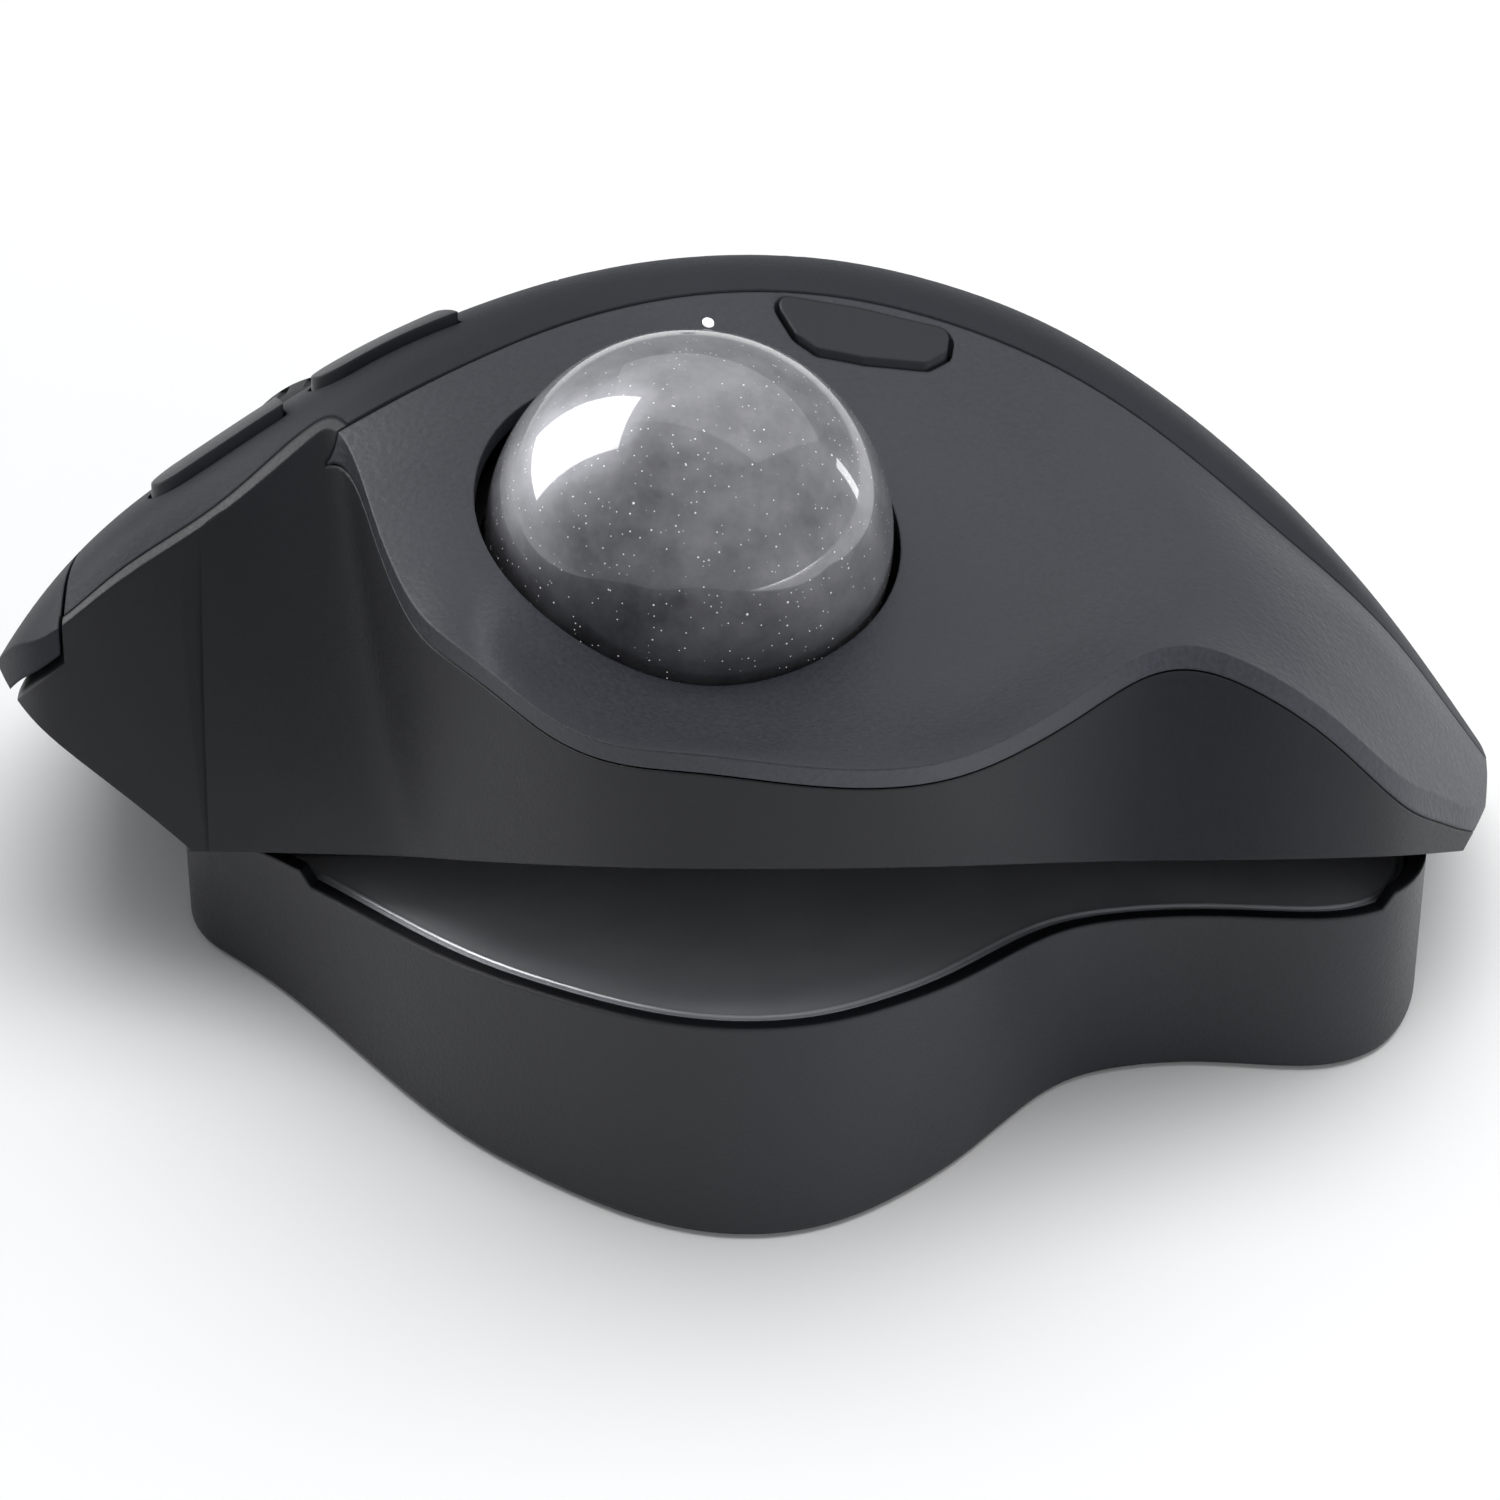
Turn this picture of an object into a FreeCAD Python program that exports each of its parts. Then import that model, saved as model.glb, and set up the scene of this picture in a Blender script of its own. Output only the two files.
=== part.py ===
import FreeCAD, Part
import math
import os

# Trackball mouse: a sculpted right-hand body that rocks on a magnetic wedge base.
# Millimetres. X runs along the body (buttons at -X, palm at +X), -Y is the thumb
# side, +Z is up. The body is drawn flat in its own frame, with its origin on the
# tilt axis, and is then leaned by REST_TILT about that axis onto the base.

V = FreeCAD.Vector
X_AXIS = V(1, 0, 0)
Y_AXIS = V(0, 1, 0)
Z_AXIS = V(0, 0, 1)

# ---- driving dimensions -----------------------------------------------------
REST_TILT = 20.0          # lean of the body at rest, degrees
HINGE_Z = 13.0            # height of the tilt axis above the table
CENTRE_X = 0.42           # plan position of the origin, under the middle of the object
CENTRE_Y = 8.68

SKIN = 2.0                # wall of the moulded covers
THUMB_SKIN = 1.7          # wall of the thumb panel
GAP = 0.15                # seam between two fixed covers
BUTTON_GAP = 0.3          # clearance round everything that is pressed
EDGE_STRIP = 0.8          # rim of the lower shell that frames the top covers

BALL_R = 17.0
BALL_CORE_R = 9.0
BALL = V(-5.06, -6.65, 29.08)
OPENING_ANGLE = 54.5      # elevation of the ball opening's axis, towards the thumb
OPENING_AXIS = V(0, -math.cos(math.radians(OPENING_ANGLE)), math.sin(math.radians(OPENING_ANGLE)))
OPENING_R = 17.6
CUP_R = 18.0              # inside of the cup that holds the ball
CUP_WALL = 1.8
BEAD_R = 1.2              # support beads the ball rolls on
EJECT_R = 5.0             # finger hole that pushes the ball out

WHEEL = V(-36.5, 27.5, 25.4)
WHEEL_R = 10.4
WHEEL_W = 6.4
SLOT_W = 8.8
SLOT_FRONT = -50.5
SLOT_REAR = -28.8
BUTTONS_REAR = -17.0      # rear edge of the two click buttons
LIP_X = -57.2             # the click buttons reach the outer edge in front of this
LIP_GAP = 0.9             # dark notch between a button's lip and the nose

SIDE_RISE = 0.9           # back and forward buttons stand this proud of the rail
PRESS_ROOM = 0.9          # free height left under the click buttons

# Sections of the top skin, front to back: x, seam y and z, crest y and z,
# right-hand edge y, and the height at which the right-hand edge stands upright.
TOP_SECTIONS = (
    (-67.0, -5.0, 9.5, 3.0, 11.0, 40.0, 2.0),
    (-62.0, -7.2, 16.6, 0.0, 19.3, 43.0, 5.0),
    (-57.2, -8.0, 21.3, -1.0, 25.0, 45.0, 7.0),
    (-45.7, -6.0, 29.5, 1.5, 33.6, 47.5, 9.0),
    (-34.5, -3.0, 37.0, 4.5, 40.3, 49.3, 10.0),
    (-25.2, 2.0, 41.2, 9.2, 44.1, 50.4, 10.5),
    (-16.2, 9.0, 43.9, 15.8, 46.2, 51.1, 11.0),
    (-4.3, 15.5, 45.5, 22.2, 47.2, 51.7, 11.0),
    (9.6, 18.5, 44.4, 25.0, 46.1, 51.8, 11.0),
    (17.9, 18.0, 42.3, 24.6, 44.1, 51.4, 11.0),
    (26.5, 16.0, 39.0, 22.9, 40.9, 50.6, 10.5),
    (35.1, 13.0, 34.0, 19.8, 36.1, 49.3, 10.0),
    (46.3, 8.6, 25.3, 14.6, 27.4, 46.6, 8.0),
    (55.7, 7.6, 16.6, 11.5, 17.5, 43.0, 5.0),
    (61.0, 10.0, 9.7, 14.0, 10.3, 39.5, 2.0),
    (67.0, 16.0, 1.2, 18.5, 1.5, 34.0, -2.0),
)

# Sections of the thumb rest: x, y of the outer crease, and the height at the crease
# and at a quarter, a half and three quarters of the way from there to the seam.
THUMB_SECTIONS = (
    (-45.7, -34.0, 12.0, 16.4, 20.8, 25.2),
    (-34.5, -30.0, 19.6, 24.0, 28.4, 32.8),
    (-25.2, -25.5, 26.1, 28.9, 32.6, 37.0),
    (-16.2, -39.5, 22.7, 22.8, 28.3, 36.3),
    (-4.3, -47.3, 21.2, 18.5, 22.7, 34.0),
    (9.6, -46.0, 19.6, 18.4, 23.6, 34.0),
    (17.9, -38.5, 19.3, 19.4, 24.7, 32.9),
    (26.5, -28.0, 21.2, 22.8, 27.3, 33.0),
    (35.1, -22.0, 23.4, 25.2, 28.0, 31.0),
    (46.3, -20.5, 17.7, 20.3, 22.5, 24.2),
    (55.7, -12.5, 8.4, 11.3, 13.7, 15.6),
    (61.0, -3.0, 4.4, 6.0, 7.5, 8.8),
    (67.0, 8.0, -1.0, -0.3, 0.3, 0.8),
)

# Outline of the body from the tail, along the thumb side and round the nose, at a
# low and at a high level; the wall between them leans in or out accordingly.
FOOT_Z = 4.0
BROW_Z = 24.0
FOOT = (
    (66.2, 15.0), (64.6, 7.0), (62.3, 0.0), (58.0, -8.5), (53.5, -16.2),
    (47.0, -22.5), (41.0, -26.0), (35.5, -27.7), (31.0, -28.7), (27.0, -30.8),
    (22.5, -34.0), (15.0, -39.0), (7.0, -42.2), (-0.5, -43.3), (-8.0, -41.5),
    (-17.0, -34.0), (-22.8, -27.0), (-25.8, -22.0), (-28.2, -18.2), (-32.0, -14.6),
    (-38.0, -10.0), (-46.0, -6.15), (-53.0, -5.0), (-60.0, -3.5), (-63.6, 1.0),
    (-65.6, 8.0), (-66.3, 16.0), (-66.2, 24.0), (-64.8, 33.0), (-60.5, 41.0), (-52.0, 46.8),
    (-38.0, 50.0), (-20.0, 51.3), (0.0, 51.8), (20.0, 51.2), (38.0, 48.0), (52.0, 41.5),
    (61.0, 32.5), (65.3, 23.5),
)
BROW = (
    (66.2, 15.0), (64.6, 7.0), (62.3, 0.2), (58.0, -5.4), (53.5, -12.6),
    (47.0, -18.7), (41.0, -21.6), (36.0, -21.8), (32.0, -22.7), (28.0, -26.2),
    (22.7, -33.0), (15.3, -43.0), (7.6, -48.0), (-0.7, -49.0), (-8.3, -46.8),
    (-18.0, -38.3), (-24.8, -26.5), (-28.8, -17.0), (-31.4, -9.8), (-35.0, -7.3),
    (-41.0, -6.5), (-48.0, -6.45), (-54.0, -7.5), (-59.6, -7.2), (-63.2, -1.0),
    (-65.6, 8.0), (-66.3, 16.0), (-66.2, 24.0), (-64.8, 33.0), (-60.5, 41.0), (-52.0, 46.8),
    (-38.0, 50.0), (-20.0, 51.3), (0.0, 51.8), (20.0, 51.2), (38.0, 48.0), (52.0, 41.5),
    (61.0, 32.5), (65.3, 23.5),
)
PRISM_LOW = -10.0
PRISM_HIGH = 60.0
FAR = 75.0

# Underside of the body: a left facet that climbs towards the thumb, a flat right
# facet, and slopes that clear the table under the nose.
LEFT_FACET = 0.255
FLAT_TO_Y = 22.0
NOSE_X = -47.4
NOSE_SLOPE = 0.85
TAIL_X = 59.5
TAIL_SLOPE = 0.75


def spline(points):
    curve = Part.BSplineCurve()
    curve.interpolate(points)
    return curve.toShape()


def skin(grid, along, across):
    """A smooth face through rows of points, with one parameter per row and per column."""
    rows = []
    for points in grid:
        row = Part.BSplineCurve()
        row.interpolate(Points=points, Parameters=across)
        rows.append(row)
    columns = []
    for poles in zip(*[row.getPoles() for row in rows]):
        column = Part.BSplineCurve()
        column.interpolate(Points=list(poles), Parameters=along)
        columns.append(column)
    poles = [list(line) for line in zip(*[column.getPoles() for column in columns])]
    u_curve = columns[0]
    v_curve = rows[0]
    surface = Part.BSplineSurface()
    surface.buildFromPolesMultsKnots(poles, u_curve.getMultiplicities(), v_curve.getMultiplicities(),
                                     u_curve.getKnots(), v_curve.getKnots(), False, False,
                                     u_curve.Degree, v_curve.Degree)
    return surface.toShape()


def lines(points):
    edges = []
    for start, end in zip(points, points[1:]):
        edges.append(Part.makeLine(start, end))
    return edges


def inset(points, amount):
    """Move the plan points of a closed outline inwards."""
    moved = []
    count = len(points)
    for i, (x, y) in enumerate(points):
        before = points[i - 1]
        after = points[(i + 1) % count]
        dx = after[0] - before[0]
        dy = after[1] - before[1]
        length = math.hypot(dx, dy)
        moved.append((x + amount * dy / length, y - amount * dx / length))
    return moved


def ring(points, z):
    """A smooth closed curve; equal numbers of points on two rings pair off one to one."""
    curve = Part.BSplineCurve()
    curve.interpolate(Points=[V(x, y, z) for x, y in points], PeriodicFlag=True,
                      Parameters=ring_parameters(len(points)))
    return curve.toShape()


def ring_parameters(count):
    """Steps in proportion to the spacing of the outline's own points."""
    outline = FOOT if count == len(FOOT) else BASE
    values = [0.0]
    for i, point in enumerate(outline):
        after = outline[(i + 1) % count]
        values.append(values[-1] + math.hypot(after[0] - point[0], after[1] - point[1]))
    return values


def outline_prism(amount):
    """Everything inside the body's outer wall, moved in by amount."""
    foot = inset(FOOT, amount)
    brow = inset(BROW, amount)
    edges = []
    for z in (PRISM_LOW, PRISM_HIGH):
        share = (z - FOOT_Z) / (BROW_Z - FOOT_Z)
        side = [(f[0] + share * (b[0] - f[0]), f[1] + share * (b[1] - f[1])) for f, b in zip(foot, brow)]
        edges.append(ring(side, z))
    wall = Part.makeRuledSurface(edges[0], edges[1])
    caps = [Part.Face(Part.Wire([edge])) for edge in edges]
    return Part.makeSolid(Part.makeShell([wall] + caps))


def top_grid(amount):
    """Points over the top skin, moved in by amount."""
    grid = []
    last = len(TOP_SECTIONS) - 1
    for i, (x, seam_y, seam_z, crest_y, crest_z, right_y, wall_z) in enumerate(TOP_SECTIONS):
        before = TOP_SECTIONS[max(i - 1, 0)]
        after = TOP_SECTIONS[min(i + 1, last)]
        slope = (after[4] - before[4]) / (after[0] - before[0])
        drop = amount * math.hypot(1.0, slope)
        rise = crest_z - seam_z
        row = [V(x, seam_y - 60.0, seam_z - 4.0 - drop),
               V(x, seam_y - 25.0, seam_z - 4.0 - drop),
               V(x, seam_y - 6.0, seam_z - 2.2 - drop),
               V(x, seam_y, seam_z - drop),
               V(x, seam_y + 0.45 * (crest_y - seam_y), seam_z + 0.68 * rise - drop),
               V(x, crest_y, crest_z - drop)]
        width = right_y - crest_y - amount
        height = crest_z - wall_z
        for angle in (18.0, 34.0, 48.0, 60.0):
            across = math.sin(math.radians(angle))
            up = math.cos(math.radians(angle))
            row.append(V(x, crest_y + width * across, wall_z + height * up - drop))
        row.append(row[-1] + V(0, 0.17 * width, -0.26 * height))
        row.append(row[-1] + V(0, 0.17 * width, -0.34 * height))
        grid.append(row)
    return grid


def top_face(amount):
    along = [section[0] for section in TOP_SECTIONS]
    across = [0, 35, 54, 60, 64, 68, 79, 90, 100, 109, 119, 130]
    return skin(top_grid(amount), along, across)


def under_top(amount):
    """Everything below the top skin moved in by amount."""
    return top_face(amount).extrude(V(0, 0, -80))


def above_top(amount):
    """Everything above the top skin moved in by amount."""
    return top_face(amount).extrude(V(0, 0, 80))


def thumb_face(amount):
    """The thumb rest's surface, moved in by amount."""
    seams = {section[0]: section[1:3] for section in TOP_SECTIONS}
    grid = []
    for x, edge_y, edge_z, quarter, half, three in THUMB_SECTIONS:
        seam_y, seam_z = seams[x]
        step = (seam_y - edge_y) / 4.0
        heights = [edge_z - 0.6 * (quarter - edge_z), edge_z, quarter, half, three, seam_z]
        heights.append(seam_z + 1.3 * (seam_z - three))
        heights.append(seam_z + 2.6 * (seam_z - three))
        grid.append([V(x, edge_y + step * (k - 1), z) for k, z in enumerate(heights)])
    along = [section[0] for section in THUMB_SECTIONS]
    face = skin(grid, along, list(range(len(grid[0]))))
    face.translate(V(0, 0.45 * amount, -0.95 * amount))
    return face


def under_thumb(amount):
    """Everything below the thumb rest's surface moved in by amount."""
    return thumb_face(amount).extrude(V(0, 0, -90))


def above_thumb(amount):
    """Everything above the thumb rest's surface moved in by amount."""
    return thumb_face(amount).extrude(V(0, 0, 80))


def above_bottom(amount):
    """Everything above the underside moved in by amount."""
    profile = [V(-FAR, -FAR, LEFT_FACET * FAR + amount), V(-FAR, 0, amount),
               V(-FAR, FLAT_TO_Y, amount)]
    rise = [V(-FAR, FLAT_TO_Y, amount), V(-FAR, 36.0, 1.2 + amount), V(-FAR, 46.0, 4.6 + amount),
            V(-FAR, 56.0, 12.0 + amount)]
    close = [rise[-1], V(-FAR, 56.0, FAR), V(-FAR, -FAR, FAR), profile[0]]
    wire = Part.Wire(lines(profile) + [spline(rise)] + lines(close))
    solid = Part.Face(wire).extrude(V(2 * FAR, 0, 0))
    nose_z = 1.7 + amount * 1.3
    nose = [V(NOSE_X, -FAR, nose_z), V(-FAR, -FAR, nose_z - NOSE_SLOPE * (-FAR - NOSE_X)),
            V(-FAR, -FAR, -FAR), V(NOSE_X, -FAR, -FAR), V(NOSE_X, -FAR, nose_z)]
    solid = solid.cut(Part.Face(Part.Wire(lines(nose))).extrude(V(0, 2 * FAR, 0)))
    tail_z = 0.2 + amount * 1.3
    tail = [V(TAIL_X, -FAR, tail_z), V(FAR, -FAR, tail_z + TAIL_SLOPE * (FAR - TAIL_X)),
            V(FAR, -FAR, -FAR), V(TAIL_X, -FAR, -FAR), V(TAIL_X, -FAR, tail_z)]
    return solid.cut(Part.Face(Part.Wire(lines(tail))).extrude(V(0, 2 * FAR, 0)))


def right_of_seam(shift):
    """Everything to the right of the seam between thumb rest and top covers."""
    seam = [V(s[0], s[1] + shift, -20.0) for s in TOP_SECTIONS]
    seam = [seam[0] - V(8, 0, 0)] + seam + [seam[-1] + V(8, 4, 0)]
    corners = [seam[-1], V(seam[-1].x, FAR, -20.0), V(seam[0].x, FAR, -20.0), seam[0]]
    wire = Part.Wire([spline(seam)] + lines(corners))
    return Part.Face(wire).extrude(V(0, 0, 100))


# ---- small solids -------------------------------------------------------------
def box(x, y, z):
    """A box between two values on each axis."""
    return Part.makeBox(x[1] - x[0], y[1] - y[0], z[1] - z[0], V(x[0], y[0], z[0]))


def rod(radius, start, end):
    return Part.makeCylinder(radius, (end - start).Length, start, end - start)


def plan_prism(points, low, high):
    """A vertical prism over a closed polygon of plan points."""
    corners = [V(x, y, low) for x, y in points]
    return Part.Face(Part.Wire(lines(corners + [corners[0]]))).extrude(V(0, 0, high - low))


def rounded_prism(points, radius, low, high):
    """A vertical prism over a polygon whose upright corners are rounded."""
    solid = plan_prism(points, low, high)
    upright = [e for e in solid.Edges if abs(e.Vertexes[0].Z - e.Vertexes[1].Z) > 1.0]
    return solid.makeFillet(radius, upright)


def biggest(shape):
    return max(shape.Solids, key=lambda solid: solid.Volume)


# ---- the moulded body ----------------------------------------------------------
class Body:
    """The outer block and the cavity that all covers are cut from."""

    def __init__(self):
        self.left, self.right = self.block(0.0)
        pocket = end_pockets(0.0)
        self.left = self.left.cut(pocket)
        self.right = self.right.cut(pocket)
        left, right = self.block(SKIN, THUMB_SKIN - 0.5)
        nose = box((-FAR, LIP_X + 1.0), (-FAR, FAR), (-FAR, FAR))
        nose_wall = above_top(SKIN + LIP_GAP + SKIN).common(nose)
        self.cavity = [left.cut(end_pockets(SKIN)), right.cut(nose_wall).cut(end_pockets(SKIN))]

    @staticmethod
    def block(amount, thumb_amount=0.0):
        solid = outline_prism(amount).common(above_bottom(amount))
        left = solid.cut(right_of_seam(0)).common(under_thumb(thumb_amount))
        right = solid.common(right_of_seam(0)).common(under_top(amount))
        return left, right


def ball_hole(radius):
    """The opening in the thumb panel, round its tilted axis."""
    return rod(radius, BALL - OPENING_AXIS * 6.0, BALL + OPENING_AXIS * 40.0)


def thumb_panel(body):
    panel = body.left.common(above_thumb(THUMB_SKIN)).cut(right_of_seam(-GAP))
    panel = panel.cut(box((-FAR, THUMB_FRONT), (-FAR, FAR), (-FAR, FAR)))
    for hole in (ball_hole(OPENING_R), precision_plan(PRECISION_GAP), led_rod(LED_R + 0.05)):
        panel = panel.cut(hole)
    return biggest(panel)


def top_zone(clearance):
    """Where the top covers lie: inside the shell's rim, and out to the edge over the nose."""
    rim = outline_prism(EDGE_STRIP + clearance)
    lip = outline_prism(0).common(box((-FAR, LIP_X - clearance), (-FAR, FAR), (-FAR, FAR)))
    return rim, lip


def lower_shell(body):
    """Walls, nose and tail: everything that the covers leave."""
    shell_left = body.left.cut(body.cavity[0])
    behind_grip = box((THUMB_FRONT - GAP, FAR), (-FAR, FAR), (-FAR, FAR))
    thumb_zone = above_thumb(THUMB_SKIN + GAP).common(behind_grip)
    shell_left = shell_left.cut(thumb_zone)
    shell_right = body.right.cut(body.cavity[1])
    shell_right = shell_right.cut(above_top(SKIN + PRESS_ROOM).common(outline_prism(EDGE_STRIP)))
    notch = above_top(SKIN + LIP_GAP).common(box((-FAR, LIP_X), (-FAR, FAR), (-FAR, FAR)))
    shell = shell_left.fuse(shell_right).cut(notch)
    behind_nose = box((HATCH_FRONT - GAP, FAR), (-FAR, FAR), (-FAR, FAR))
    hatch = outline_prism(HATCH_INSET).cut(above_bottom(SKIN + 0.2)).common(behind_nose)
    shell = shell.cut(hatch)
    shell = shell.cut(rod(EJECT_R + 1.0, V(BALL.x, BALL.y, -5), V(BALL.x, BALL.y, 8)))
    shell = shell.cut(charging_port_box(GAP))
    return biggest(shell.removeSplitter())


def bottom_cover(body):
    """The V-shaped hatch under the body, with the finger hole for the ball."""
    cover = body.left.fuse(body.right).common(outline_prism(HATCH_INSET + GAP))
    cover = cover.cut(above_bottom(SKIN)).common(box((HATCH_FRONT, FAR), (-FAR, FAR), (-FAR, FAR)))
    cover = cover.cut(rod(EJECT_R, V(BALL.x, BALL.y, -5), V(BALL.x, BALL.y, 8)))
    cover = cover.cut(power_slot(0.3))
    for spot in HATCH_SCREWS:
        cover = cover.cut(rod(1.2, V(spot[0], spot[1], -5), V(spot[0], spot[1], 12)))
    return biggest(cover)


# ---- click buttons and palm cover --------------------------------------------
# Plan of the left button: its edge along the rail, and its tip that wraps the front.
SPLIT = 0.15              # half of the gap between the two buttons ahead of the wheel
LEFT_OF_SLOT = WHEEL.y - SLOT_W / 2 - 0.3
RIGHT_OF_SLOT = WHEEL.y + SLOT_W / 2 + 0.3
LEFT_BUTTON = ((LIP_X - 0.2, -30.0), (LIP_X - 0.2, 5.0), (-45.0, 8.0), (-34.0, 11.6), (-25.0, 15.6),
               (BUTTONS_REAR, 19.2), (BUTTONS_REAR, LEFT_OF_SLOT), (SLOT_FRONT, LEFT_OF_SLOT),
               (SLOT_FRONT, WHEEL.y - SPLIT), (-FAR, WHEEL.y - SPLIT), (-FAR, -30.0))
RIGHT_BUTTON = ((BUTTONS_REAR, RIGHT_OF_SLOT), (BUTTONS_REAR, FAR), (-FAR, FAR), (-FAR, WHEEL.y + SPLIT),
                (SLOT_FRONT, WHEEL.y + SPLIT), (SLOT_FRONT, RIGHT_OF_SLOT))


def grown(points, amount):
    """A polygon's prism grown sideways by amount."""
    outline = Part.Wire(lines([V(x, y, -20) for x, y in points + points[:1]]))
    return Part.Face(outline.makeOffset2D(amount, 2)).extrude(V(0, 0, 90))


def top_skin(body, clearance):
    rim, lip = top_zone(clearance)
    skin_part = body.right.common(above_top(SKIN))
    return skin_part.common(rim), skin_part.common(lip)


def click_button(body, outline):
    """A button shell that is cut from the top skin, with its plunger rib below."""
    inner, front = top_skin(body, BUTTON_GAP)
    cutter = plan_prism(outline, -20, 70)
    shell = inner.common(cutter).fuse(front.common(cutter))
    return biggest(shell.removeSplitter())


def rib(x, y, low, high, size=1.2):
    return box((x - size, x + size), (y - size, y + size), (low, high))


def left_button(body):
    button = click_button(body, LEFT_BUTTON)
    spot = SWITCHES["left"]
    return biggest(button.fuse(rib(spot[0], spot[1], SWITCH_TOP + 0.9, 27.0).common(under_top(SKIN / 2))))


def right_button(body):
    button = click_button(body, RIGHT_BUTTON)
    spot = SWITCHES["right"]
    return biggest(button.fuse(rib(spot[0], spot[1], SWITCH_TOP + 0.9, 24.0).common(under_top(SKIN / 2))))


def palm_cover(body):
    """The top cover: the palm hump, the rail and the island behind the wheel."""
    inner, _ = top_skin(body, GAP)
    cover = inner.cut(right_of_seam(-5).cut(right_of_seam(GAP)))
    for outline in (LEFT_BUTTON, RIGHT_BUTTON):
        cover = cover.cut(grown(outline, BUTTON_GAP))
    middle = WHEEL.y
    cover = cover.cut(box((-FAR, SLOT_REAR), (middle - SLOT_W / 2, middle + SLOT_W / 2), (-20, 70)))
    for name in SIDE_BUTTONS:
        cover = cover.cut(side_button_plan(name, BUTTON_GAP))
    cover = cover.cut(mode_plan(BUTTON_GAP))
    return biggest(cover)


# Back and forward buttons on the rail: x of the rear and front ends, and centre y there.
SIDE_BUTTONS = {
    "back_button": ((-25.9, 10.8), (-37.0, 5.2)),
    "forward_button": ((-39.8, 4.0), (-50.5, 1.4)),
}
SIDE_BUTTON_W = 4.6


def side_button_plan(name, growth):
    """A D-shaped prism: square rear end, round front end."""
    rear, front = SIDE_BUTTONS[name]
    along = V(front[0] - rear[0], front[1] - rear[1], 0).normalize()
    side = V(-along.y, along.x, 0)
    half = SIDE_BUTTON_W / 2 + growth
    start = V(rear[0], rear[1], 0) - along * growth
    centre = V(front[0], front[1], 0) - along * (SIDE_BUTTON_W / 2)
    low = V(0, 0, -20)
    a = start + side * half + low
    b = centre + side * half + low
    c = centre - side * half + low
    d = start - side * half + low
    tip = centre + along * half + low
    edges = [Part.makeLine(a, b), Part.Arc(b, tip, c).toShape(), Part.makeLine(c, d), Part.makeLine(d, a)]
    return Part.Face(Part.Wire(edges)).extrude(V(0, 0, 90))


def side_button(name):
    """A raised key, flanged below the rail so that it can't fall out."""
    key = side_button_plan(name, 0).common(under_top(-SIDE_RISE)).common(above_top(SKIN + 0.8))
    return biggest(key)


MODE_BUTTON = ((-26.4, WHEEL.y - 2.4), (-20.0, WHEEL.y + 2.4))


def mode_plan(growth):
    (x0, y0), (x1, y1) = MODE_BUTTON
    points = ((x0 - growth, y0 - growth), (x1 + growth, y0 - growth), (x1 + growth, y1 + growth),
              (x0 - growth, y1 + growth))
    return rounded_prism(points, 1.2 + growth, -20, 70)


def mode_button():
    """Device-select key behind the wheel, just proud of the island."""
    return biggest(mode_plan(0).common(under_top(-0.5)).common(above_top(SKIN + 0.8)))


# ---- thumb panel's own key and light -------------------------------------------
THUMB_FRONT = -35.2
PRECISION = ((1.9, 16.7), (9.5, 17.2), (17.4, 17.0), (17.0, 14.7), (15.2, 13.2), (9.8, 12.2),
             (5.8, 12.2), (4.0, 13.3))
PRECISION_GAP = 0.45
LED = V(-3.6, 13.0, 43.4)
LED_AXIS = V(0, -0.63, 0.78)
LED_R = 0.5


def precision_plan(growth):
    """Boat-shaped outline of the precision key, squared to the thumb panel's slope."""
    outline = Part.Wire(lines([V(x, y, 0) for x, y in PRECISION + PRECISION[:1]]))
    if growth:
        outline = outline.makeOffset2D(growth, 2)
    solid = Part.Face(outline).extrude(V(0, 0, 80))
    upright = [e for e in solid.Edges if abs(e.Vertexes[0].Z - e.Vertexes[1].Z) > 1.0]
    return solid.makeFillet(0.9 + growth, upright)


def precision_button():
    return biggest(precision_plan(0).common(under_thumb(-0.35)).common(above_thumb(THUMB_SKIN + 0.8)))


def led_rod(radius):
    return rod(radius, LED - LED_AXIS * 8, LED + LED_AXIS * 8)


def status_light():
    """Clear light pipe, flush with the thumb panel above the ball."""
    return biggest(led_rod(LED_R).common(under_thumb(-0.1)).common(above_thumb(THUMB_SKIN + 2.0)))


# ---- ball and its cup ------------------------------------------------------------
def ball_shell():
    hollow = Part.makeSphere(BALL_CORE_R + 0.3, BALL)
    return Part.makeSphere(BALL_R, BALL).cut(hollow)


def ball_core():
    return Part.makeSphere(BALL_CORE_R, BALL)


def bead_spots():
    """Three beads at equal steps round the opening axis, under the ball's middle."""
    side = OPENING_AXIS.cross(X_AXIS).normalize()
    spots = []
    for turn in (90.0, 210.0, 330.0):
        round_axis = X_AXIS * math.cos(math.radians(turn)) + side * math.sin(math.radians(turn))
        down = -OPENING_AXIS * math.cos(math.radians(62.0)) + round_axis * math.sin(math.radians(62.0))
        spots.append(BALL + down * (BALL_R + 0.3 + BEAD_R))
    return spots


def ball_cup():
    """Open cup round the lower half of the ball, with a sensor window and a finger hole."""
    cup = Part.makeSphere(CUP_R + CUP_WALL, BALL)
    collar = rod(CUP_R + CUP_WALL, BALL - OPENING_AXIS * 2.6, BALL + OPENING_AXIS * 40)
    cup = cup.cut(collar)
    cup = cup.cut(Part.makeSphere(CUP_R, BALL))
    cup = cup.cut(rod(EJECT_R + 0.6, V(BALL.x, BALL.y, -5), V(BALL.x, BALL.y, BALL.z)))
    for spot in bead_spots():
        cup = cup.cut(Part.makeSphere(BEAD_R, spot))
    cup = cup.cut(rod(3.2, BALL, sensor_point(30)))
    return biggest(cup.common(under_thumb(THUMB_SKIN + GAP)))


def sensor_point(distance):
    """A point on the ball sensor's axis, which looks at the ball from the rear right."""
    return BALL + V(0.62, 0.55, -0.56).normalize() * distance


def sensor_lens():
    return rod(3.0, sensor_point(BALL_R + 0.6), sensor_point(BALL_R + 3.2))


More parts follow.
